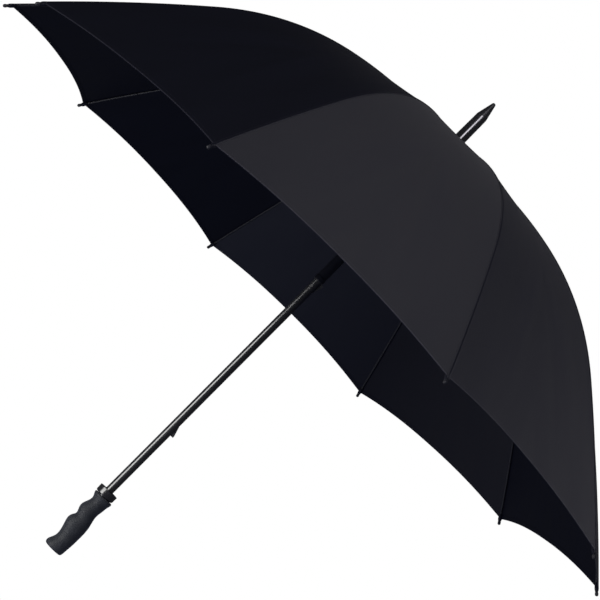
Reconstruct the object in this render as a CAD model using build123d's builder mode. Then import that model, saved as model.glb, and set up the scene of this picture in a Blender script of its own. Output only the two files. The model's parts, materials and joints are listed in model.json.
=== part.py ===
"""Golf umbrella, open, as separate pieces.

Millimetres. +Z runs up the shaft to the ferrule, the origin is the centre of the handle's end,
and rib 1 points along +X. Every piece is drawn where it stands on the open umbrella.
"""

import os
from math import atan2, cos, degrees, hypot, pi, radians, sin

from build123d import *

os.makedirs("parts", exist_ok=True)

# ---- driving dimensions -------------------------------------------------------------------
RIBS = 10
STEP = 360 / RIBS  # angle between ribs
HALF = STEP / 2

SHAFT_R, SHAFT_BORE = 7.0, 6.1
SHAFT_Z = (8.0, 896.0)

APEX_Z = 887.0  # top of the cloth at the shaft
HUB_R = 11.0  # rib and stretcher pivots sit on rings of this radius
ARCS = ((833.0, 17.5), (552.5, 41.8), (3340.0, 46.48))  # canopy section: tangent arcs, each to its end slope
TIP_SLOPE = ARCS[-1][1]
CLOTH_T = 1.0  # cloth, thicker than life
CLOTH_R0 = 15.9  # where the gores start
CORNER_BACK = 11.0  # the rib tips stick out this far past the cloth
SCALLOP = 22.0  # how far the hem is cut back between two ribs
SAG = 0.0102  # dip of the cloth between ribs, as a share of the gap

RIB_R = 1.6  # rib rod
RIB_DROP = 3.0  # rod centre below the cloth's top
EYE_R, EYE_T, EYE_HOLE = 2.1, 3.0, 0.8
WIRE_R = 0.6
SLOT_W = 3.7
CLIP_SLOPE = 21.3  # slope of the rib where the stretcher's clip sits
CLIP_DROP = 8.0  # stretcher pivot below the rod's centre
FLEX_SLOPE = 22.5  # slope of the rib where its thinner outer rod begins
BALL_R = 1.9
TIP_R, TIP_LEN = 2.2, 24.0
TIP_HEAD_R, TIP_HEAD_LEN = 2.8, 6.2  # blunt head past the thread that ties the cloth

GRIP_TOP = 110.5
CUP_Z = (112.0, 123.5)
TOOTH_OUT = 12.0  # radius a catch's tooth reaches
TOOTH_T = 2.4
LOWER_TOOTH_Z = (250.2, 271.7)
TOOTH_LEN = 21.5

RUNNER_BORE, RUNNER_R, RUNNER_HEAD_R = 7.35, 8.5, 14.5
RUNNER_BELOW = 184.0  # runner's lower end below its pivot ring
CLOSED_PIVOT_Z = 310.3  # pivot ring's height when the umbrella is shut

FERRULE_Z = (888.8, 954.3, 984.6)  # foot, start of the cone, end
FERRULE_R = (10.2, 9.5)  # at the foot and where the cone starts
FERRULE_NOSE_R, FERRULE_NOSE_SLOPE = 3.3, 12.8


def section(slope, below=0.0):
    """Point (r, z) of the canopy's section where it slopes by so many degrees, some depth under the cloth."""
    radius, end = ARCS[0]
    centre_r, centre_z = HUB_R, APEX_Z - radius
    for next_radius, next_end in ARCS[1:]:
        if slope <= end:
            break
        centre_r += (radius - next_radius) * sin(radians(end))
        centre_z += (radius - next_radius) * cos(radians(end))
        radius, end = next_radius, next_end
    a = radians(slope)
    return centre_r + (radius - below) * sin(a), centre_z + (radius - below) * cos(a)


def slope_at(length):
    """Slope in degrees this far along the section from its start."""
    start = 0.0
    for radius, end in ARCS:
        arc = radius * radians(end - start)
        if length <= arc or end == TIP_SLOPE:
            return start + degrees(length / radius)
        length, start = length - arc, end


def on_rib(slope, below=RIB_DROP):
    r, z = section(slope, below)
    return (r, 0, z)


def across(slope, below=RIB_DROP):
    """Plane square to rib 1 at this slope: x along the rib, y sideways, z along the rod."""
    a = radians(slope)
    return Plane(origin=on_rib(slope, below), x_dir=(0, 1, 0), z_dir=(cos(a), 0, -sin(a)))


RIB_LEN = sum(radius * radians(end - start) for (radius, end), start in zip(ARCS, (0.0, ARCS[0][1], ARCS[1][1])))
CROWN = (HUB_R, 0, APEX_Z - RIB_DROP)  # rib 1's pivot
JOINT = on_rib(CLIP_SLOPE, RIB_DROP + CLIP_DROP)  # stretcher 1's upper pivot
PIVOT_Z = 2 * JOINT[2] - CROWN[2]  # the runner's pivot ring: stretcher and rib arm are equal
RUNNER_Z = (PIVOT_Z - RUNNER_BELOW, PIVOT_Z + 6.0)
UPPER_TOOTH_Z = (RUNNER_Z[0] - 0.4 - TOOTH_LEN, RUNNER_Z[0] - 0.4)


def save(part, name):
    part.label = name
    export_step(part, f"parts/{name}.step")


def save_ring(part, name):
    """One copy of rib 1's piece at every rib."""
    for k in range(RIBS):
        save(part.rotate(Axis.Z, k * STEP), f"{name}_{k + 1:02d}")


# ---- shaft ----------------------------------------------------------------------------------
with BuildPart() as shaft_tube:
    with Locations((0, 0, SHAFT_Z[0])):
        Cylinder(SHAFT_R, SHAFT_Z[1] - SHAFT_Z[0], align=(Align.CENTER, Align.CENTER, Align.MIN))
        Cylinder(SHAFT_BORE, SHAFT_Z[1] - SHAFT_Z[0], align=(Align.CENTER, Align.CENTER, Align.MIN),
                 mode=Mode.SUBTRACT)
    for low, high in (LOWER_TOOTH_Z, UPPER_TOOTH_Z):
        with Locations((SHAFT_R, 0, (low + high) / 2)):
            Box(6, TOOTH_T + 0.6, high - low + 1.2, mode=Mode.SUBTRACT)
    with Locations(Location((0, 0, 872.5), (90, 0, 0))):
        Cylinder(1.2, 30, mode=Mode.SUBTRACT)
save(shaft_tube.part, "shaft_tube")

# ---- handle: height, reach towards the fingers (-X), reach towards the palm (+X), half width --
GRIP = [
    (0.0, 13.0, 15.2, 13.6),
    (1.6, 15.0, 17.0, 15.3),
    (5.0, 15.8, 17.9, 16.0),
    (16.0, 11.7, 18.8, 15.6),
    (30.0, 11.5, 19.6, 15.6),
    (41.0, 14.6, 19.8, 16.4),
    (51.0, 17.0, 19.6, 16.8),
    (62.5, 12.9, 18.2, 15.8),
    (71.0, 14.2, 16.0, 15.2),
    (80.5, 16.3, 14.4, 15.2),
    (89.0, 13.6, 15.1, 14.6),
    (97.5, 11.4, 16.2, 14.6),
    (105.5, 14.2, 17.7, 15.8),
    (109.3, 15.5, 18.2, 16.4),
    (GRIP_TOP, 14.7, 17.4, 15.6),
]
with BuildPart() as handle_grip:
    for z, finger, palm, side in GRIP:
        with BuildSketch(Plane.XY.offset(z)):
            with Locations(((palm - finger) / 2, 0)):
                Ellipse((palm + finger) / 2, side)
    loft()
    with Locations((0, 0, SHAFT_Z[0])):
        Cylinder(SHAFT_R, 120, align=(Align.CENTER, Align.CENTER, Align.MIN), mode=Mode.SUBTRACT)
save(handle_grip.part, "handle_grip")

# ---- cup above the handle that guards the rib tips ------------------------------------------
with BuildPart() as tip_cup:
    with BuildSketch(Plane.XZ):
        with BuildLine():
            Polyline(
                (SHAFT_R, GRIP_TOP), (9.5, GRIP_TOP), (9.5, CUP_Z[0]), (15.2, CUP_Z[0]), (16.4, CUP_Z[0] + 1.5),
                (16.6, CUP_Z[1]), (15.4, CUP_Z[1]), (15.1, CUP_Z[0] + 2.0), (8.4, CUP_Z[0] + 2.0),
                (8.4, CUP_Z[1] - 1.0), (SHAFT_R, CUP_Z[1] - 1.0), close=True,
            )
        make_face()
    revolve(axis=Axis.Z)
save(tip_cup.part, "tip_cup")


# ---- spring catches in the shaft: one holds the runner down when shut, one holds it up ------
def catch_outline(low, high, square_edge_down):
    """Leaf inside the tube and a tooth through it: a square edge that holds and a ramp that gives way."""
    z0, z1 = (low, high) if square_edge_down else (high, low)
    step = 3.3 if square_edge_down else -3.3
    back = 9.0 if square_edge_down else -9.0
    return [(1.2, z0 - back), (5.8, z0 - back), (5.8, z0), (TOOTH_OUT, z0), (TOOTH_OUT, z0 + step),
            (6.4, z1), (5.8, z1), (5.8, z1 + back), (1.2, z1 + back)]


for name, ends, square_edge_down in (
    ("lower_catch", LOWER_TOOTH_Z, True),
    ("upper_catch", UPPER_TOOTH_Z, False),
):
    with BuildPart() as catch:
        with BuildSketch(Plane.XZ):
            with BuildLine():
                Polyline(*catch_outline(*ends, square_edge_down), close=True)
            make_face()
        extrude(amount=TOOTH_T / 2, both=True)
    save(catch.part, name)

# ---- crown: the notched hub the ribs hang from, its wire and its rivet ------------------------
with BuildPart() as crown_notch:
    with Locations((0, 0, 877)):
        Cylinder(RUNNER_HEAD_R, 10.5, align=(Align.CENTER, Align.CENTER, Align.MIN))
    with Locations((0, 0, 866)):
        Cylinder(9.2, 11, align=(Align.CENTER, Align.CENTER, Align.MIN))
        Cylinder(SHAFT_R, 30, align=(Align.CENTER, Align.CENTER, Align.MIN), mode=Mode.SUBTRACT)
    with PolarLocations(0, RIBS):
        with Locations((8.3, 0, 877)):
            Box(10, SLOT_W, 9.4, align=(Align.MIN, Align.CENTER, Align.MIN), mode=Mode.SUBTRACT)
    with Locations((0, 0, CROWN[2])):
        Torus(HUB_R, WIRE_R, mode=Mode.SUBTRACT)
    with Locations(Location((0, 0, 872.5), (90, 0, 0))):
        Cylinder(1.2, 30, mode=Mode.SUBTRACT)
save(crown_notch.part, "crown_notch")

with BuildPart() as crown_wire:
    with Locations((0, 0, CROWN[2])):
        Torus(HUB_R, WIRE_R)
save(crown_wire.part, "crown_wire")

with BuildPart() as crown_rivet:
    with Locations(Location((0, 0, 872.5), (90, 0, 0))):
        Cylinder(1.2, 18.4)
        with Locations((0, 0, 9.6), (0, 0, -9.6)):
            Cylinder(2.0, 0.8)
save(crown_rivet.part, "crown_rivet")

# ---- ferrule and the round patch of cloth under it --------------------------------------------
with BuildPart() as ferrule:
    z0, z1, z2 = FERRULE_Z
    with BuildSketch(Plane.XZ):
        with BuildLine():
            nose = CenterArc((0, z2 - FERRULE_NOSE_R), FERRULE_NOSE_R, FERRULE_NOSE_SLOPE,
                             90 - FERRULE_NOSE_SLOPE)
            Polyline(nose @ 1, (0, z0 - 9), (SHAFT_BORE, z0 - 9), (SHAFT_BORE, SHAFT_Z[1]), (SHAFT_R, SHAFT_Z[1]),
                     (SHAFT_R, z0), (FERRULE_R[0], z0), (FERRULE_R[1], z1), nose @ 0)
        make_face()
    revolve(axis=Axis.Z)
save(ferrule.part, "ferrule")

with BuildPart() as top_rosette:
    with Locations((0, 0, APEX_Z + 0.6)):
        Cylinder(18.0, 1.0, align=(Align.CENTER, Align.CENTER, Align.MIN))
        Cylinder(SHAFT_R + 0.1, 1.0, align=(Align.CENTER, Align.CENTER, Align.MIN), mode=Mode.SUBTRACT)
save(top_rosette.part, "top_rosette")

# ---- runner: sleeve, slotted head and the window that the lower catch drops into --------------
window = (LOWER_TOOTH_Z[0] - 0.6 - CLOSED_PIVOT_Z, LOWER_TOOTH_Z[1] + 2.5 - CLOSED_PIVOT_Z)
with BuildPart() as runner:
    with BuildSketch(Plane.XZ):
        with BuildLine():
            Polyline(
                (RUNNER_BORE, RUNNER_Z[0]), (8.8, RUNNER_Z[0]), (9.2, RUNNER_Z[0] + 1.2),
                (9.2, RUNNER_Z[0] + 7), (RUNNER_R, RUNNER_Z[0] + 9), (RUNNER_R, PIVOT_Z - 14),
                (RUNNER_HEAD_R - 1.2, PIVOT_Z - 8), (RUNNER_HEAD_R, PIVOT_Z - 6.5),
                (RUNNER_HEAD_R, PIVOT_Z + 3.6), (8.3, PIVOT_Z + 3.6), (8.3, RUNNER_Z[1]),
                (RUNNER_BORE, RUNNER_Z[1]), close=True,
            )
        make_face()
    revolve(axis=Axis.Z)
    with PolarLocations(0, RIBS):
        with Locations((8.3, 0, PIVOT_Z - 3.2)):
            Box(10, SLOT_W, 12, align=(Align.MIN, Align.CENTER, Align.MIN), mode=Mode.SUBTRACT)
    with Locations((RUNNER_R, 0, PIVOT_Z + sum(window) / 2)):
        Box(8, TOOTH_T + 1.2, window[1] - window[0], mode=Mode.SUBTRACT)
    with Locations((0, 0, PIVOT_Z)):
        Torus(HUB_R, WIRE_R, mode=Mode.SUBTRACT)
save(runner.part, "runner")

with BuildPart() as runner_wire:
    with Locations((0, 0, PIVOT_Z)):
        Torus(HUB_R, WIRE_R)
save(runner_wire.part, "runner_wire")

# ---- rib, inner rod: eye on the crown wire, rod, stretcher clip, ball at the outer end ---------
with BuildPart() as rib_inner:
    start, bend = degrees(2.0 / ARCS[0][0]), ARCS[0][1]
    with BuildLine() as rod_line:
        ThreePointArc(on_rib(start), on_rib((start + bend) / 2), on_rib(bend))
        ThreePointArc(on_rib(bend), on_rib((bend + FLEX_SLOPE) / 2), on_rib(FLEX_SLOPE))
    with BuildSketch(across(start)):
        Circle(RIB_R)
    sweep(path=rod_line.line)
    with Locations(on_rib(FLEX_SLOPE)):
        Sphere(BALL_R)
    with Locations(Location(CROWN, (90, 0, 0))):
        Cylinder(EYE_R, EYE_T)
        Cylinder(EYE_HOLE, 8, mode=Mode.SUBTRACT)
    with BuildSketch(Plane(origin=(JOINT[0], 0, JOINT[2]), x_dir=(1, 0, 0), z_dir=(0, -1, 0))):
        with Locations(Rotation(0, 0, -CLIP_SLOPE)):
            with Locations((0, CLIP_DROP - 2.4)):
                Rectangle(11, 5.0)
    extrude(amount=2.2, both=True)
    with BuildSketch(Plane(origin=(JOINT[0], 0, JOINT[2]), x_dir=(1, 0, 0), z_dir=(0, -1, 0))):
        Circle(2.3)
        with Locations(Rotation(0, 0, -CLIP_SLOPE)):
            with Locations((0, 2.5)):
                Rectangle(4.6, 5)
        Circle(EYE_HOLE, mode=Mode.SUBTRACT)
    extrude(amount=1.0, both=True)
save_ring(rib_inner.part, "rib_inner")

# ---- rib, outer rod: thinner rod and the plastic tip that the cloth is tied to ------------------
with BuildPart() as rib_outer:
    start, bend = FLEX_SLOPE + degrees((BALL_R + 0.35) / ARCS[1][0]), ARCS[1][1]
    tip_start = TIP_SLOPE - degrees(TIP_LEN / ARCS[2][0])
    with BuildLine() as rod_line:
        ThreePointArc(on_rib(start), on_rib((start + bend) / 2), on_rib(bend))
        ThreePointArc(on_rib(bend), on_rib((bend + tip_start) / 2), on_rib(tip_start + 0.1))
    with BuildSketch(across(start)):
        Circle(RIB_R - 0.1)
    sweep(path=rod_line.line)
    with BuildSketch(across(tip_start)):
        Circle(TIP_R)
    extrude(amount=TIP_LEN - TIP_HEAD_LEN)
    with Locations(across(tip_start).offset(TIP_LEN - TIP_HEAD_LEN)):
        Cone(TIP_R, TIP_HEAD_R, 0.6, align=(Align.CENTER, Align.CENTER, Align.MIN))
    with Locations(across(tip_start).offset(TIP_LEN - TIP_HEAD_LEN + 0.6)):
        Cylinder(TIP_HEAD_R, TIP_HEAD_LEN - 0.6 - TIP_HEAD_R, align=(Align.CENTER, Align.CENTER, Align.MIN))
    with Locations(across(tip_start).offset(TIP_LEN - TIP_HEAD_R).origin):
        Sphere(TIP_HEAD_R)
save_ring(rib_outer.part, "rib_outer")

# ---- stretcher: rod from the rib's clip to the runner, with a fork at one end and an eye at the other
arm = hypot(JOINT[0] - HUB_R, JOINT[2] - PIVOT_Z)
rise = degrees(atan2(JOINT[2] - PIVOT_Z, JOINT[0] - HUB_R))
along = Plane(origin=(HUB_R, 0, PIVOT_Z), x_dir=(cos(radians(rise)), 0, sin(radians(rise))), z_dir=(0, -1, 0))
with BuildPart() as stretcher:
    with BuildSketch(along):
        Circle(EYE_R)
        with Locations((3.6, 0)):
            Rectangle(5.0, 3.4)
    extrude(amount=EYE_T / 2, both=True)
    with Locations(Plane(origin=along.from_local_coords((5.5, 0, 0)), z_dir=along.x_dir)):
        Cylinder(1.5, arm - 12.0, align=(Align.CENTER, Align.CENTER, Align.MIN))
    with BuildSketch(along):
        with Locations((arm, 0)):
            Circle(2.4)
        with Locations((arm - 4.5, 0)):
            Rectangle(9, 3.6)
    extrude(amount=2.3, both=True)
    with BuildSketch(along):
        with Locations((arm, 0)):
            Circle(3.6)
    extrude(amount=1.25, both=True, mode=Mode.SUBTRACT)
    with BuildSketch(along):
        Circle(EYE_HOLE)
    extrude(amount=4, both=True, mode=Mode.SUBTRACT)
    with BuildSketch(along):
        with Locations((arm, 0)):
            Circle(EYE_HOLE - 0.1)
    extrude(amount=2.3, both=True)
save_ring(stretcher.part, "stretcher")


# ---- canopy: one gore of cloth to a rib, reaching halfway to the ribs on both sides -------------
def gore_face(share):
    """Cut through half a gore, from the rib to just short of the seam plane, this share of the way out."""
    first = CLOTH_R0 - HUB_R
    last = RIB_LEN - CORNER_BACK
    r, z = section(slope_at(first + (last - first) * share))
    mid_r, mid_z = section(slope_at(first + (last - SCALLOP - first) * share))
    dip = SAG * 2 * mid_r * sin(radians(HALF))
    mid_r, mid_z = mid_r * cos(radians(HALF)) - dip * share / 2, mid_z - dip
    c, s = cos(radians(HALF)), sin(radians(HALF))
    rib = Vector(r, 0, z)
    mid = Vector(mid_r * c + 0.2 * s, mid_r * s - 0.2 * c, mid_z)
    down = Vector(0, 0, -CLOTH_T)
    return Face(Wire.make_polygon([rib, mid, mid + down, rib + down], close=True))


with BuildPart() as canopy_gore:
    loft(sections=[gore_face(i / 15) for i in range(16)])
    mirror(about=Plane.XZ)
save_ring(canopy_gore.part, "canopy_gore")
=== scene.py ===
"""Looks for the golf umbrella: sewn cloth canopy, black frame, rubber grip, studio."""
import json
import math

import bmesh
import bpy
from mathutils import Matrix, Vector


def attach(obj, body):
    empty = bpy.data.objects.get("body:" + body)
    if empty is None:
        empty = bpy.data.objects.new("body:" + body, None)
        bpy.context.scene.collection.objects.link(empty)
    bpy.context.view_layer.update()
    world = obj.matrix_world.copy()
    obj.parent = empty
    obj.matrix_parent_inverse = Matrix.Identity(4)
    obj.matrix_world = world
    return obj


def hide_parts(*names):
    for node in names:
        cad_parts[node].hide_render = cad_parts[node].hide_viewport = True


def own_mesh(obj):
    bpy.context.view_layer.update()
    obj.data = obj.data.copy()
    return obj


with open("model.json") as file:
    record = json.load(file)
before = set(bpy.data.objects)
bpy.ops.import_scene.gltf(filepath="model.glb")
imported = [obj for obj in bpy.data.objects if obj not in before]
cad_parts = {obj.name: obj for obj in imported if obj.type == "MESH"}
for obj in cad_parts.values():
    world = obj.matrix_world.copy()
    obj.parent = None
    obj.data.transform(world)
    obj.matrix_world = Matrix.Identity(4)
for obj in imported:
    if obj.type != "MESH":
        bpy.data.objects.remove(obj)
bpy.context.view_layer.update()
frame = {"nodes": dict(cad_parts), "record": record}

RIBS = 10
STEP = 2 * math.pi / RIBS
HALF = STEP / 2

# The canopy's section, as the frame has it: a level start at the crown, then tangent arcs, each to its end slope.
HUB_R, APEX_Z = 0.011, 0.887
ARCS = ((0.833, math.radians(17.5)), (0.5525, math.radians(41.8)), (3.34, math.radians(46.48)))
CLOTH_R0 = 0.0159  # where the cloth starts, next to the shaft
CORNER_BACK = 0.011  # how far a panel's corner stops short of the rib's end
SCALLOP, SCALLOP_POWER = 0.022, 2.24  # how far the hem curves in between two ribs, and how flat that curve is
SAG = 0.0102  # dip of a panel's middle, as a share of its width
FLEX = math.radians(22.5)  # slope of the section at the rib hinges
ROD_DEPTH = 0.003  # the rods' axis, under the cloth


def section(length, below=0.0):
    """(r, z, slope) this far along the canopy's section, at a depth under the cloth."""
    radius, end = ARCS[0]
    centre_r, centre_z, start = HUB_R, APEX_Z - radius, 0.0
    for next_radius, next_end in ARCS[1:]:
        if length <= radius * (end - start):
            break
        length -= radius * (end - start)
        centre_r += (radius - next_radius) * math.sin(end)
        centre_z += (radius - next_radius) * math.cos(end)
        radius, start, end = next_radius, end, next_end
    a = start + length / radius
    return centre_r + (radius - below) * math.sin(a), centre_z + (radius - below) * math.cos(a), a


ARC_LENGTHS = [radius * (end - start) for (radius, end), start in zip(ARCS, (0.0, ARCS[0][1], ARCS[1][1]))]
RIB_LEN = sum(ARC_LENGTHS)
FIRST, LAST = CLOTH_R0 - HUB_R, RIB_LEN - CORNER_BACK
SPLIT = ARC_LENGTHS[0] + ARCS[1][0] * (FLEX - ARCS[0][1])  # where the inner rib gives way to the outer one


def turned(p, angle):
    c, s = math.cos(angle), math.sin(angle)
    return Vector((p[0] * c - p[1] * s, p[0] * s + p[1] * c, p[2]))


def cut_back(length, across):
    """How far the cloth at this place stops short of the rib's own length, because of the curved hem."""
    return SCALLOP * (1 - (1 - across) ** SCALLOP_POWER) * max(length - FIRST, 0.0) / (LAST - FIRST)


def cloth_point(length, across, lift=0.0):
    """A point on rib 1's gore: length along the rib, across from the rib (0) to the middle of the panel (1)."""
    bow = across * (2 - across)
    r, z, a = section(length - cut_back(length, across), -lift)
    dip = SAG * 2 * r * math.sin(HALF) * bow
    return Vector((
        r - across * r * math.sin(HALF) ** 2 - dip * math.sin(a) * 0.5,
        across * r * math.cos(HALF) * math.sin(HALF),
        z - dip * math.cos(a),
    ))


# ---- materials ----------------------------------------------------------------------------------
THREAD_PITCH = 0.0007
STITCH_INSET, STITCH_HALF_WIDTH, STITCH_LENGTH, STITCH_GAP = 0.0060, 0.0004, 0.0032, 0.28
# Painted highlight: a lighter band painted along each hem's edge, standing in for the light that the folded hem
# catches
HEM_GLINT_WIDTH = 0.0012
THREAD_TONE, HEM_GLINT_TONE = (0.016, 0.016, 0.02), (0.040, 0.037, 0.038)


class Shader:
    """A principled material with a few helpers for its procedural detail."""

    def __init__(self, name, colour, roughness, **values):
        self.mat = bpy.data.materials.new(name)
        self.mat.use_nodes = True
        self.tree = self.mat.node_tree
        self.bsdf = self.tree.nodes["Principled BSDF"]
        self.bsdf.inputs["Base Color"].default_value = (*colour, 1)
        self.bsdf.inputs["Roughness"].default_value = roughness
        for key, value in values.items():
            self.bsdf.inputs[key.replace("_", " ")].default_value = value
        self.coords = self.node("ShaderNodeTexCoord")

    def node(self, kind, **props):
        n = self.tree.nodes.new(kind)
        for key, value in props.items():
            setattr(n, key, value)
        return n

    def link(self, a, b):
        self.tree.links.new(a, b)

    def noise(self, scale, detail=2.0, space="Object", stretch=(1, 1, 1), source=None):
        place = self.node("ShaderNodeMapping")
        place.inputs["Scale"].default_value = stretch
        self.link(source or self.coords.outputs[space], place.inputs["Vector"])
        n = self.node("ShaderNodeTexNoise")
        n.inputs["Scale"].default_value = scale
        n.inputs["Detail"].default_value = detail
        self.link(place.outputs["Vector"], n.inputs["Vector"])
        return n.outputs["Fac"]

    def math(self, op, a, b=None, c=None):
        n = self.node("ShaderNodeMath", operation=op)
        for i, x in enumerate((a, b, c)):
            if x is None:
                continue
            if isinstance(x, (int, float)):
                n.inputs[i].default_value = x
            else:
                self.link(x, n.inputs[i])
        return n.outputs[0]

    def spread(self, fac, low, high, out_low, out_high):
        n = self.node("ShaderNodeMapRange")
        n.inputs["From Min"].default_value = low
        n.inputs["From Max"].default_value = high
        n.inputs["To Min"].default_value = out_low
        n.inputs["To Max"].default_value = out_high
        self.link(fac, n.inputs["Value"])
        return n.outputs["Result"]

    def blend(self, fac, a, b):
        n = self.node("ShaderNodeMix", data_type="RGBA")
        self.link(fac, n.inputs[0])
        for socket, x in ((n.inputs[6], a), (n.inputs[7], b)):
            if isinstance(x, tuple):
                socket.default_value = (*x, 1)
            else:
                self.link(x, socket)
        return n.outputs[2]

    def bump(self, height, strength, distance):
        n = self.node("ShaderNodeBump")
        n.inputs["Strength"].default_value = strength
        n.inputs["Distance"].default_value = distance
        self.link(height, n.inputs["Height"])
        if self.bsdf.inputs["Normal"].links:
            self.link(self.bsdf.inputs["Normal"].links[0].from_socket, n.inputs["Normal"])
        self.link(n.outputs["Normal"], self.bsdf.inputs["Normal"])

    def set(self, socket, output):
        self.link(output, self.bsdf.inputs[socket])


def cloth_shader(name, colour, light, stitched=False):
    """Plain-weave pongee: fine weave, slubs, soft tension marks, and the sheen of its cross threads.

    The cross threads spread light along the panel and hardly across it, so each panel has its own tone.
    """
    s = Shader(name, colour, 0.6, Specular_IOR_Level=0.3, Anisotropic=0.92, Anisotropic_Rotation=0.25)
    tangent = s.node("ShaderNodeTangent", direction_type="UV_MAP", uv_map="cloth")
    s.set("Tangent", tangent.outputs["Tangent"])
    uv = s.node("ShaderNodeUVMap", uv_map="cloth")
    parts = s.node("ShaderNodeSeparateXYZ")
    s.link(uv.outputs["UV"], parts.inputs[0])
    u, v = parts.outputs["X"], parts.outputs["Y"]
    warp = s.math("SINE", s.math("MULTIPLY", u, 2 * math.pi / THREAD_PITCH))
    weft = s.math("SINE", s.math("MULTIPLY", v, 2 * math.pi / THREAD_PITCH))
    s.bump(s.math("MULTIPLY", warp, weft), 0.2, 0.00004)
    slub = s.noise(900, 2, stretch=(1, 0.05, 1), source=uv.outputs["UV"])
    pull = s.noise(9, 3, stretch=(2.5, 0.35, 1), source=uv.outputs["UV"])
    s.bump(pull, 0.35, 0.0008)
    tone = s.blend(s.spread(pull, 0.3, 0.7, 0, 1), colour, light)
    tone = s.blend(s.spread(slub, 0.45, 0.75, 0, 0.5), tone, light)
    s.set("Roughness", s.spread(pull, 0.3, 0.7, 0.56, 0.64))
    if stitched:
        edge = s.node("ShaderNodeUVMap", uv_map="edge")
        e = s.node("ShaderNodeSeparateXYZ")
        s.link(edge.outputs["UV"], e.inputs[0])
        along, inward = e.outputs["X"], e.outputs["Y"]
        off_row = s.math("ABSOLUTE", s.math("SUBTRACT", inward, STITCH_INSET))
        row = s.math("LESS_THAN", off_row, STITCH_HALF_WIDTH)
        dash = s.math("GREATER_THAN", s.math("FRACT", s.math("MULTIPLY", along, 1 / STITCH_LENGTH)), STITCH_GAP)
        thread = s.math("MULTIPLY", row, dash)
        tone = s.blend(thread, tone, THREAD_TONE)
        s.bump(thread, 0.5, 0.0003)
        # Painted highlight: the outermost strip of the hem is painted lighter, for the light its fold catches
        hem_glint = s.math("LESS_THAN", inward, HEM_GLINT_WIDTH)
        tone = s.blend(s.math("MULTIPLY", hem_glint, 0.8), tone, HEM_GLINT_TONE)
    s.set("Base Color", tone)
    return s.mat


def gloss_shader(name, colour, roughness, wear=0.2, gloss=1.0):
    """Hard black finish, mirror-like at full gloss, with fine scratches that catch the light."""
    s = Shader(name, colour, roughness, Coat_Weight=gloss, Coat_Roughness=0.06, Specular_IOR_Level=gloss)
    fine = s.noise(260, 3)
    broad = s.noise(14, 3)
    s.set("Roughness", s.spread(broad, 0.3, 0.7, roughness * 0.75, roughness * 1.5))
    s.set("Base Color", s.blend(s.spread(fine, 0.55, 0.8, 0, wear), colour, tuple(c * 2.5 + 0.01 for c in colour)))
    s.bump(fine, 0.03, 0.00005)
    return s.mat


def rod_shader():
    """Dull black rod with fine lengthwise strands."""
    s = Shader("rod_black", (0.012, 0.012, 0.013), 0.45, Specular_IOR_Level=0.16)
    strands = s.noise(500, 2, stretch=(0.05, 1, 1))
    s.set("Roughness", s.spread(strands, 0.3, 0.7, 0.38, 0.55))
    s.set("Base Color", s.blend(strands, (0.009, 0.009, 0.010), (0.02, 0.02, 0.022)))
    s.bump(strands, 0.15, 0.0002)
    return s.mat


def grip_shader():
    """Foam rubber: fine pores, a soft mottle, and paler scuffs."""
    s = Shader("grip_rubber", (0.018, 0.019, 0.022), 0.6, Sheen_Weight=0.1, Sheen_Roughness=0.5,
               Specular_IOR_Level=0.3)
    pores = s.node("ShaderNodeTexVoronoi")
    pores.inputs["Scale"].default_value = 1500
    s.link(s.coords.outputs["Object"], pores.inputs["Vector"])
    mottle = s.noise(110, 4)
    scuff = s.noise(35, 5, stretch=(1, 1, 0.5))
    s.bump(pores.outputs["Distance"], 0.35, 0.0002)
    s.bump(mottle, 0.16, 0.0006)
    tone = s.blend(mottle, (0.009, 0.010, 0.011), (0.015, 0.017, 0.019))
    tone = s.blend(s.spread(scuff, 0.6, 0.8, 0, 0.6), tone, (0.045, 0.048, 0.052))
    s.set("Base Color", tone)
    s.set("Roughness", s.spread(mottle, 0.3, 0.7, 0.5, 0.7))
    return s.mat


def wire_shader():
    """Drawn steel wire."""
    s = Shader("steel", (0.55, 0.55, 0.57), 0.3, Metallic=1.0)
    drawn = s.noise(700, 2)
    s.set("Roughness", s.spread(drawn, 0.3, 0.7, 0.22, 0.45))
    s.bump(drawn, 0.1, 0.0001)
    return s.mat


CLOTH = cloth_shader("canopy_cloth", (0.0070, 0.0072, 0.0100), (0.0090, 0.0092, 0.0125), stitched=True)
TRIM = cloth_shader("canopy_trim", (0.0070, 0.0072, 0.0100), (0.0100, 0.0102, 0.0138))
GLOSS = gloss_shader("shaft_gloss", (0.010, 0.010, 0.011), 0.24, gloss=0.9)
MOULDED = gloss_shader("black_plastic", (0.010, 0.010, 0.011), 0.24, wear=0.3, gloss=0.8)
SATIN = gloss_shader("black_satin", (0.010, 0.010, 0.012), 0.42, wear=0.3, gloss=0.3)
CATCH = gloss_shader("steel_black", (0.012, 0.012, 0.013), 0.34, wear=0.6, gloss=0.5)
ROD = rod_shader()
GRIP = grip_shader()
STEEL = wire_shader()
BY_SLOT = {
    "shaft_gloss": GLOSS, "black_plastic": MOULDED, "steel_black": CATCH, "rod_black": ROD,
    "grip_rubber": GRIP, "steel": STEEL, "canopy_cloth": TRIM,
}

for part in frame["record"]["subparts"]:
    node = frame["nodes"][part["node"]]
    for place in node.material_slots:
        place.material = SATIN if part["node"] in ("runner", "crown_notch") else BY_SLOT[part["material_slot"]]


# ---- cloth --------------------------------------------------------------------------------------
CLOTH_T, SEAM_T = 0.0005, 0.0004  # the thickness of a panel's cloth, and of a seam's band
CLOTH_DROP = 0.00025  # the panels' top face, under the section's curve
HEM = 0.007
INNER_END, OUTER_START = SPLIT + 0.005, SPLIT + 0.0022  # the inner cloth runs on over the outer at the rib hinges


def mesh_object(name, bm, material, smooth=True):
    mesh = bpy.data.meshes.new(name)
    bmesh.ops.recalc_face_normals(bm, faces=bm.faces)
    bm.to_mesh(mesh)
    bm.free()
    for p in mesh.polygons:
        p.use_smooth = smooth
    obj = bpy.data.objects.new(name, mesh)
    bpy.context.collection.objects.link(obj)
    mesh.materials.append(material)
    return obj


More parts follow.
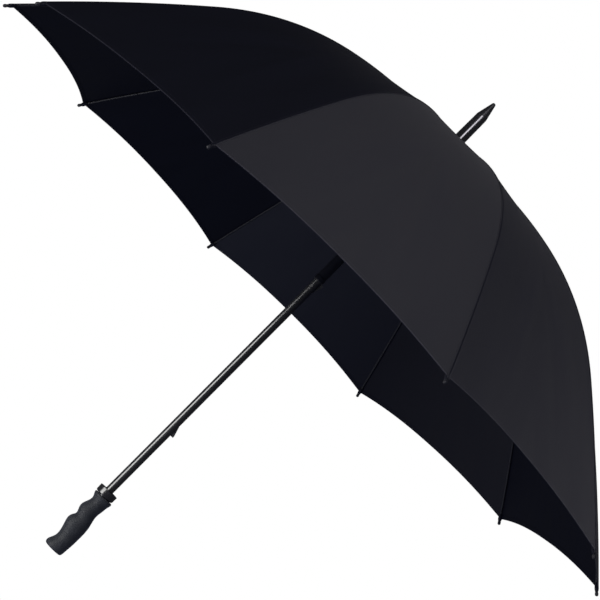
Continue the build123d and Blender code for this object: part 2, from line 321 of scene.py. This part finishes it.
def grid(rows, angle, side, thickness, hem=0.0):
    """Two-layer cloth from rows of (point, cloth uv, edge uv), turned to its rib, twice as thick within the hem."""
    bm = bmesh.new()
    cloth, edge = bm.loops.layers.uv.new("cloth"), bm.loops.layers.uv.new("edge")
    layers = []
    for lift in (0, 1):
        layer = []
        for i, row in enumerate(rows):
            line = []
            for j, (p, uv, ev) in enumerate(row):
                q = Vector(p)
                if lift:
                    a = Vector(rows[min(i + 1, len(rows) - 1)][j][0]) - Vector(rows[max(i - 1, 0)][j][0])
                    b = Vector(row[min(j + 1, len(row) - 1)][0]) - Vector(row[max(j - 1, 0)][0])
                    n = a.cross(b).normalized()
                    q -= n * (thickness * (2 if ev[1] < hem else 1) * (1 if n.z > 0 else -1))
                q.y *= side
                line.append((bm.verts.new(turned(q, angle)), uv, ev))
            layer.append(line)
        layers.append(layer)

    def face(corners):
        f = bm.faces.new([c[0] for c in corners])
        for loop, c in zip(f.loops, corners):
            loop[cloth].uv, loop[edge].uv = c[1], c[2]

    for layer in layers:
        for i in range(len(layer) - 1):
            for j in range(len(layer[i]) - 1):
                face((layer[i][j], layer[i][j + 1], layer[i + 1][j + 1], layer[i + 1][j]))
    top, under = layers
    rim = [(0, j) for j in range(len(top[0]))] + [(i, len(top[0]) - 1) for i in range(1, len(top))]
    rim += [(len(top) - 1, j) for j in range(len(top[0]) - 2, -1, -1)] + [(i, 0) for i in range(len(top) - 2, 0, -1)]
    for (a, b), (c, d) in zip(rim, rim[1:] + rim[:1]):
        face((top[a][b], top[c][d], under[c][d], under[a][b]))
        for layer in layers:
            bm.edges.get((layer[a][b][0], layer[c][d][0])).smooth = False
    return bm


def gore_rows(start, end, rows, cols):
    """Rows of cloth between two lengths along the rib; the last ones lie close together, for the hem's fold."""
    lengths = [start + (end - start) * i / rows for i in range(rows + 1)]
    if end == LAST:
        lengths[-1:] = [LAST - HEM - 0.0004, LAST - HEM + 0.0004, LAST - 0.0011, LAST]
    out = []
    for length in lengths:
        row = []
        for j in range(cols + 1):
            across = j / cols
            p = cloth_point(length, across, -CLOTH_DROP)
            hem_along = across * section(LAST)[0] * math.sin(HALF)
            row.append((p, (p.y, length - cut_back(length, across)), (hem_along, LAST - length)))
        out.append(row)
    return out


# Each half panel rides its rib, inner or outer; KEEP_INNER and KEEP_OUTER, shares meant to keep a squashed panel's
# middle further out, are not used.
KEEP_INNER, KEEP_OUTER = 0.26, 0.10
for k in range(RIBS):
    n, angle = f"{k + 1:02d}", k * STEP
    for side, side_name in ((1, "l"), (-1, "r")):
        for zone, start, end, rows, cols, body, keep in (
            ("inner", FIRST, INNER_END, 24, 12, f"rib_inner_{n}", KEEP_INNER),
            ("outer", OUTER_START, LAST, 40, 20, f"rib_outer_{n}", KEEP_OUTER),
        ):
            made = gore_rows(start, end, rows, cols)
            piece = mesh_object(f"cloth_{zone}_{n}{side_name}", grid(made, angle, side, CLOTH_T, HEM), CLOTH)
            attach(piece, body)
            r, z, slope = section((start + end) / 2, ROD_DEPTH)
            r_end, z_end, _ = section(end, ROD_DEPTH)
            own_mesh(piece)
            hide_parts(f"canopy_gore_{n}")


# ---- seams over the ribs ------------------------------------------------------------------------
SEAM = [(-0.0026, -0.00005), (-0.0022, 0.00012), (-0.0012, 0.0002), (-0.0003, 0.00022), (0.0, 0.00005),
        (0.0003, 0.00022), (0.0012, 0.0002), (0.0022, 0.00012), (0.0026, -0.00005)]
SEAM_PAST = 0.001  # a seam runs on past its panels' ends


def seam(angle, start, end, rows):
    """The felled seam where two panels meet: a low flat band with a groove down its middle."""
    made = []
    for i in range(rows + 1):
        length = start + (end - start) * i / rows
        r, z, a = section(length)
        row = []
        for y, lift in SEAM:
            fall = abs(y) * math.tan(HALF) * math.sin(a)
            up = lift - fall + 0.0001
            row.append(((r + up * math.sin(a), y, z + up * math.cos(a)), (y, length), (length, 0.0042 + abs(y))))
        made.append(row)
    return grid(made, angle, 1, SEAM_T)


def finish_cloth(piece, body, n=None):
    """Ride for a small cloth piece, and the stand-in that it hides; with no rib number it is the rosette."""
    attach(piece, body)
    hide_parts(f"canopy_gore_{n}" if n else "top_rosette")


for k in range(RIBS):
    n, angle = f"{k + 1:02d}", k * STEP
    for zone, start, end, rows, body in (
        ("inner", FIRST - SEAM_PAST, INNER_END, 30, f"rib_inner_{n}"),
        ("outer", OUTER_START, LAST + SEAM_PAST, 44, f"rib_outer_{n}"),
    ):
        finish_cloth(mesh_object(f"seam_{zone}_{n}", seam(angle, start, end, rows), CLOTH), body, n)


# ---- small sewn parts ---------------------------------------------------------------------------
def lathe(bm, profile, place, segments, wave=lambda turn: 0.0):
    """Add a closed profile of (radius, height) turned about its own axis, with planar cloth coordinates."""
    cloth, edge = bm.loops.layers.uv.verify(), bm.loops.layers.uv.get("edge") or bm.loops.layers.uv.new("edge")
    widest = max(r for r, h in profile)
    rings = []
    for i in range(segments):
        turn = 2 * math.pi * i / segments
        rings.append([(bm.verts.new(place @ Vector((r * math.cos(turn), r * math.sin(turn), h + wave(turn)))),
                       (r * math.cos(turn), r * math.sin(turn) + h), (turn * widest, widest - r + 0.0012))
                      for r, h in profile])
    for i in range(segments):
        for j in range(len(profile)):
            corners = [rings[i][j], rings[(i + 1) % segments][j],
                       rings[(i + 1) % segments][(j + 1) % len(profile)], rings[i][(j + 1) % len(profile)]]
            f = bm.faces.new([c[0] for c in corners])
            for loop, c in zip(f.loops, corners):
                loop[cloth].uv, loop[edge].uv = c[1], c[2]


def rod_place(length, angle):
    """Frame on a rib's rod: z out along the rod, x up out of the cloth."""
    r, z, a = section(length, ROD_DEPTH)
    along = turned((math.cos(a), 0, -math.sin(a)), angle)
    up = turned((math.sin(a), 0, math.cos(a)), angle)
    place = Matrix((up, along.cross(up), along)).transposed().to_4x4()
    place.translation = turned((r, 0, z), angle)
    return place


def new_cloth():
    bm = bmesh.new()
    bm.loops.layers.uv.new("cloth")
    return bm


def thread_loops(bm, place, radius, count, pitch=0.00048, thick=0.00024):
    """A few turns of thread round a rod."""
    for i in range(count):
        ring = [(radius + thick * math.cos(t), thick * math.sin(t) + (i - (count - 1) / 2) * pitch)
                for t in (2 * math.pi * q / 6 for q in range(6))]
        lathe(bm, ring, place, 16)


ROSETTE = [(0.0074, 0.0007), (0.0110, 0.0006), (0.0150, 0.0005), (0.0172, 0.0004), (0.0178, 0.00045),
           (0.0181, 0.0007), (0.0179, 0.00105), (0.0172, 0.0012), (0.0168, 0.00105), (0.0150, 0.0011),
           (0.0110, 0.0012), (0.0080, 0.0015), (0.0074, 0.0014)]
bm = new_cloth()
lathe(bm, ROSETTE, Matrix.Translation((0, 0, APEX_Z)), 80, wave=lambda turn: 0.00008 * math.cos(RIBS * turn))
rosette = mesh_object("rosette", bm, CLOTH)
finish_cloth(rosette, "shaft")

POCKET = [(0.00235, -0.011), (0.0030, -0.011), (0.0033, -0.006), (0.0034, -0.001), (0.0031, 0.0016),
          (0.0026, 0.0026), (0.00225, 0.0026), (0.0023, 0.0)]
POCKET_THREAD, POCKET_THREAD_R = 0.0034, 0.0024
TIES = (("inner", (0.155, 0.235), 0.00185), ("outer", (0.40, 0.52, 0.64), 0.00178))  # places along the rib, radius
for k in range(RIBS):
    n, angle = f"{k + 1:02d}", k * STEP
    bm = new_cloth()
    lathe(bm, POCKET, rod_place(LAST, angle), 20)
    thread_loops(bm, rod_place(LAST + POCKET_THREAD, angle), POCKET_THREAD_R, 4)
    finish_cloth(mesh_object(f"tip_pocket_{n}", bm, TRIM), f"rib_outer_{n}", n)
    for zone, spots, radius in TIES:
        bm = new_cloth()
        for spot in spots:
            thread_loops(bm, rod_place(spot, angle), radius, 5)
        finish_cloth(mesh_object(f"ties_{zone}_{n}", bm, TRIM), f"rib_{zone}_{n}", n)


# ---- studio -------------------------------------------------------------------------------------
LIGHTS_AIM = Vector((0, 0, 0.6))
FLOOR_Z, FLOOR_SIZE = -6, 14


def camera():
    """A little below the canopy's rim, looking slightly up, and rolled by an eighth of a turn."""
    data = bpy.data.cameras.new("camera")
    data.sensor_width = 36.0
    data.lens = 105.0
    data.clip_end = 50
    obj = bpy.data.objects.new("camera", data)
    bpy.context.collection.objects.link(obj)
    rim = Vector((0.0008, 0, section(RIB_LEN)[1] - 0.0005))
    distance, below, yaw, roll = 2.7463, math.radians(4.876), math.radians(0.601), math.radians(44.896)
    away = Vector((math.sin(yaw) * math.cos(below), -math.cos(yaw) * math.cos(below), -math.sin(below)))
    right = Vector((0, 0, 1)).cross(away).normalized()
    up = away.cross(right)
    x = right * math.cos(roll) + up * math.sin(roll)
    y = up * math.cos(roll) - right * math.sin(roll)
    place = Matrix((x, y, away)).transposed().to_4x4()
    place.translation = rim + away * distance
    obj.matrix_world = place
    bpy.context.scene.camera = obj


def area_light(name, azimuth, elevation, distance, size, power, colour=(1.0, 0.97, 1.06)):
    """A softbox this far from the canopy's middle, azimuth from +X, aimed at it."""
    data = bpy.data.lights.new(name, "AREA")
    data.shape = "RECTANGLE"
    data.size, data.size_y = size
    data.energy = power
    data.color = colour
    obj = bpy.data.objects.new(name, data)
    bpy.context.collection.objects.link(obj)
    a, e = math.radians(azimuth), math.radians(elevation)
    away = Vector((math.cos(a) * math.cos(e), math.sin(a) * math.cos(e), math.sin(e)))
    obj.location = LIGHTS_AIM + away * distance
    obj.rotation_euler = (-away).to_track_quat("-Z", "Y").to_euler()
    return obj


def light_group(name, state):
    """The hard parts, as the only things that a light falls on or the ones that it leaves out."""
    group = bpy.data.collections.new(name)
    for part, obj in frame["nodes"].items():
        if part != "runner" or state == "EXCLUDE":
            group.objects.link(obj)
    for member in group.collection_objects:
        member.light_linking.link_state = state
    return group


camera()
area_light("front", 270, 25, 3.2, (1.2, 1.2), 36)
side = area_light("side", 0, 25, 3.2, (1.2, 1.2), 17)
area_light("under", 246, -60, 3.2, (2.0, 1.6), 26, (0.66, 0.71, 1.0))
area_light("low_left", 198, -45, 3.2, (1.2, 1.2), 10)
area_light("back", 90, 45, 3.2, (1.6, 1.6), 5)
strip = area_light("strip", 222, -22, 1.6, (0.9, 1.3), 22, (1.0, 1.0, 0.98))
strip.light_linking.receiver_collection = light_group("strip_lit", "INCLUDE")
side.light_linking.receiver_collection = light_group("side_unlit", "EXCLUDE")

# White walls: the camera sees them plain, gloss picks them up dimmed, and little of their light fills the shade.
world = bpy.data.worlds.new("studio")
bpy.context.scene.world = world
world.use_nodes = True
air = world.node_tree
rays = air.nodes.new("ShaderNodeLightPath")


def wall(colour, strength):
    n = air.nodes.new("ShaderNodeBackground")
    n.inputs["Color"].default_value = (*colour, 1)
    n.inputs["Strength"].default_value = strength
    return n.outputs[0]


def choose(ray, yes, no):
    n = air.nodes.new("ShaderNodeMixShader")
    air.links.new(rays.outputs[ray], n.inputs[0])
    air.links.new(no, n.inputs[1])
    air.links.new(yes, n.inputs[2])
    return n.outputs[0]


WALL_FILL, WALL_GLOSS = 0.32, 0.05
light = choose("Is Camera Ray", wall((1, 1, 1), 1.0),
               choose("Is Glossy Ray", wall((0.95, 0.97, 1.0), WALL_GLOSS), wall((0.38, 0.48, 1.0), WALL_FILL)))
air.links.new(light, air.nodes["World Output"].inputs["Surface"])

# A pale backdrop far below: only the camera sees it, and it takes no shadow and gives no light.
floor_shader = Shader("studio_floor", (0.93, 0.93, 0.93), 0.8, Emission_Color=(0.97, 0.97, 0.97, 1),
                      Emission_Strength=0.75)
floor_shader.set("Base Color", floor_shader.blend(floor_shader.noise(3), (0.92, 0.92, 0.92), (0.95, 0.95, 0.95)))
bm = bmesh.new()
bmesh.ops.create_grid(bm, x_segments=1, y_segments=1, size=FLOOR_SIZE)
floor = mesh_object("floor", bm, floor_shader.mat, smooth=False)
floor.location = (0, 0, FLOOR_Z)
floor.visible_diffuse = floor.visible_glossy = floor.visible_shadow = False

bpy.context.scene.view_settings.view_transform = "Standard"
